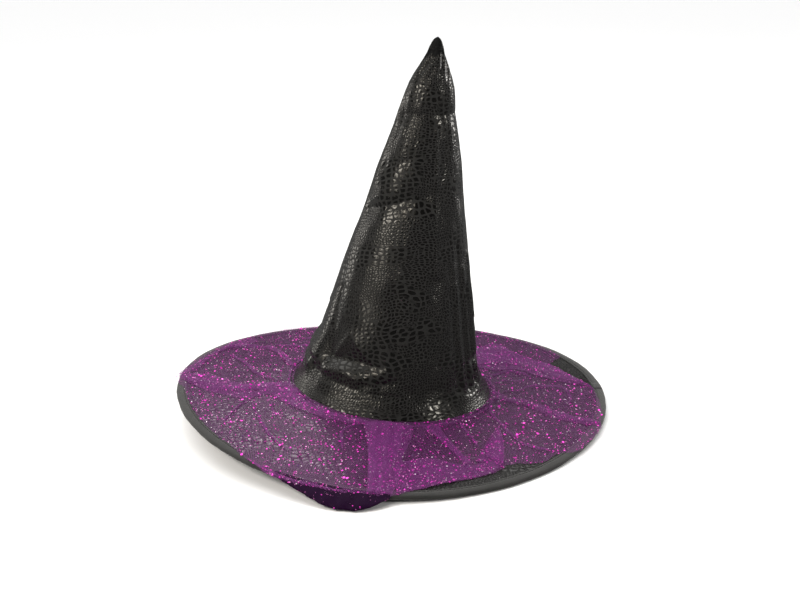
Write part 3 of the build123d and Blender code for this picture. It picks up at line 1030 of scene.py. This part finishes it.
# back right length: folded double, it leaves a triangle of the cover bare
net = Net(13)
hem = [(-12, 196), (-8, 194), (-1, 191), (0, 191.5), (3, 189), (11, 178), (23, 170), (28, 193)]
hem += [(35, 194), (50, 196), (62, 197)]
net.base(-12, 62, INNER_NET, hem)
net.fold(
    [(98, 58), (143, 52), (167, 51), (161, 41), (163, 30), (170, 23), (178, 11), (191, 1)],
    [(97, 34), (114, 26), (132, 24), (143, 16), (154, 10), (168, 6), (184, 3), (190, 0.5)], 1.8, 3,
    taper=(0.05, 0.02),
)
net.fold(
    [(98, 54), (140, 49), (160, 46), (158, 38), (160, 28), (168, 21), (176, 10), (189, 1.5)],
    [(98, 38), (118, 32), (136, 28), (148, 19), (157, 12), (170, 7), (184, 3.5), (188, 1)], 1.4, 2,
    lift=1.5, under=1.3, taper=(0.05, 0.02),
)
net.ridge([(96, 19), (109, 21), (126, 22), (136, 15), (139, 12)], 3.1, 1.7)
net.ridge(
    [(104, 0), (119, 0), (135, 4), (152, 3), (162, 2), (167, -4), (165, -10), (158, -12)], 3.1, 1.3
)
net.ridge([(97, 10), (112, 12), (130, 9)], 2.7, 1.1)
net.roll(-12, 62)
back_sheet = net.made("tulle_net_back_right", "tulle_back_right", tulle_net)

# bunched corner: a bag of net that hangs over the front edge to the table
POUCH_TURNS = (-119.0, -90.5)


def hanging_corner():
    """Two layers of net that hang over the binding and bunch up on the table."""
    along, around = 60, 26
    share = np.linspace(0, 1, along)
    turn = np.radians(POUCH_TURNS[0] + (POUCH_TURNS[1] - POUCH_TURNS[0]) * share)
    drop = np.interp(share, [0, 0.28, 0.54, 0.78, 0.88, 1], [0, 0.4, 0.97, 1, 0.66, 0])
    drop = np.convolve(np.pad(drop, 4, mode="edge"), np.ones(9) / 9, mode="valid")
    top = brim_height(turn, RIM) + TAPE_TOP
    rows, uv = [], []
    for s, t, d, high in zip(share, turn, drop, top):
        low = high * (1 - d) + 0.7 * d
        fall = high - low
        section = [(196.5, high + 0.7), (RIM + 1.0, high + 0.5), (RIM + 2.2 + 3 * d, high - 1.0)]
        section += [(RIM + 2.6 + 10 * d, low + 0.5 * fall), (RIM + 2.4 + 14 * d, low + 0.12 * fall)]
        section += [(RIM + 2 + 11 * d, low), (RIM - 3, low + 0.1 + 0.25 * (fall - TAPE_TOP) * d)]
        section = np.array(section)
        run = np.concatenate([[0], np.cumsum(np.hypot(*np.diff(section, axis=0).T))])
        at = np.linspace(0, run[-1], around)
        line = np.stack([np.interp(at, run, section[:, k]) for k in (0, 1)])
        for _ in range(3):
            line[:, 1:-1] = (line[:, :-2] + 2 * line[:, 1:-1] + line[:, 2:]) / 4
        r, z = line
        creases = 0.32 * np.sin(s * 46 + 0.25 * at) + 0.22 * np.sin(s * 91 - 0.35 * at)
        r = r + creases * np.clip((at - 3) / 4, 0, 1) * (0.3 + d)
        rows.append(raised(polar(r, t), np.maximum(z, 0.45)))
        uv.append(np.stack([np.full(around, t * 190), at], -1))
    outside, flat = np.concatenate(rows), np.concatenate(uv)
    inside = outside * [0.9975, 0.9975, 1] + [0, 0, 0.25]
    net = Net(14)
    net.put(outside, flat, grid_faces(along, around))
    net.put(inside, flat + 13.7, grid_faces(along, around, flip=True))
    # its net colour is painted shade: the purple tulle made much darker
    return net.made("tulle_hanging_corner", "tulle_front_corner", pouch_net_painted_shade)


corner = hanging_corner()

FLAKES = (  # label, material, radius in mm, count on the whole brim
    ("large_magenta", magenta, 1.15, 190), ("large_deep", deep, 1.0, 60),
    ("middle_magenta", magenta, 0.72, 950), ("middle_pink", pink, 0.62, 330),
    ("middle_pale", pale, 0.55, 260), ("middle_deep", deep, 0.7, 200),
    ("small_magenta", magenta, 0.42, 3100), ("small_pink", pink, 0.36, 1500),
    ("small_pale", pale, 0.34, 1300),
)
for sheet, share, seed in ((left_sheet, 0.53, 101), (right_sheet, 0.27, 201), (back_sheet, 0.16, 301)):
    where = sheet.name.replace("tulle_net_", "")
    [
        sparkle(f"glitter_{where}_{label}", sheet, look, radius, int(count * share), seed + i)
        for i, (label, look, radius, count) in enumerate(FLAKES)
    ]
sparkle("glitter_corner_middle", corner, magenta, 0.5, 36, 401, lowest=-0.2)
sparkle("glitter_corner_small", corner, pink, 0.28, 120, 402, lowest=-0.2)

# ---- floor, lights, camera
FLOOR_HALF = 9000
corners = [(x * FLOOR_HALF, y * FLOOR_HALF, 0) for x, y in ((-1, -1), (1, -1), (1, 1), (-1, 1))]
floor = piece("floor", corners, [(0, 1, 2, 3)])
floor.data.materials.append(Shader("pale_table").principled(Base_Color=(0.93, 0.93, 0.93), Roughness=0.9))
floor.visible_glossy = False  # the photograph is cut out: its foil mirrors a dim room, not a table

TARGET = Vector((0.0089, 0, 0.1032))
ELEVATION = radians(19.6)
DISTANCE = 1.2
ROLL = radians(-1)
camera_data = bpy.data.cameras.new("camera")
camera_data.lens = 58.6
camera_data.sensor_width = 36
camera = placed("camera", camera_data)
offset = Vector((0, -cos(ELEVATION), sin(ELEVATION)))
look = (-offset).to_track_quat("-Z", "Y").to_matrix().to_4x4()
camera.matrix_world = Matrix.Translation(TARGET + offset * DISTANCE) @ look @ Matrix.Rotation(ROLL, 4, "Z")
scene.camera = camera

AMBER, WARM, MILD, WHITE = (1, 0.94, 0.86), (1, 0.96, 0.90), (1, 0.98, 0.95), (1, 1, 1)
LIGHTS = (  # name, place, the height on the hat's axis that it points at, size, power, colour
    ("key_left", (-1.05, -0.55, 0.85), 0.15, (0.4, 0.4), 10, WARM),
    ("lamp_front_left", (-0.6, -1.05, 1.0), 0.2, (0.22, 0.22), 4.5, AMBER),
    ("low_left", (-1.6, -1.1, 0.42), 0.2, (0.4, 0.6), 5.5, WARM),
    ("window_behind_left", (-1.5, 1.05, 0.4), 0.2, (0.5, 0.8), 5.5, WARM),
    ("window_behind_right", (1.5, 0.9, 0.45), 0.2, (0.4, 0.6), 12, MILD),
    ("fill_right", (1.5, -0.9, 0.8), 0.2, (0.25, 0.4), 12, MILD),
    ("window_behind", (-0.15, 1.5, 1.2), 0.1, (0.28, 0.28), 3.2, WHITE),
)
for name, place, aim, size, power, colour in LIGHTS:
    light = bpy.data.lights.new(name, "AREA")
    light.shape = "RECTANGLE"
    light.size, light.size_y = size
    light.energy = power
    light.color = colour
    lamp = placed(name, light)
    lamp.location = place
    lamp.rotation_euler = (Vector((0, 0, aim)) - Vector(place)).to_track_quat("-Z", "Y").to_euler()
overhead = bpy.data.lights.new("overhead", "SUN")
overhead.energy = 3.2
overhead.angle = radians(75)
placed("overhead", overhead).rotation_euler = (radians(-22), radians(-10), 0)

# a dim room, paler below the horizon than above it: (height, strength)
HORIZON, SKY = (0.05, 0.22), (0.3, 0.10)
room = Shader("studio", bpy.data.worlds)
up = room.add("SeparateXYZ", Vector=room.add("TexCoord").outputs["Generated"]).outputs["Z"]
strength = room.step(up, HORIZON[0], SKY[0], HORIZON[1], SKY[1])
scene.world = room.done(
    room.add("Background", Color=(1, 1, 1), Strength=strength), "OutputWorld"
)
scene.view_settings.view_transform = "Standard"
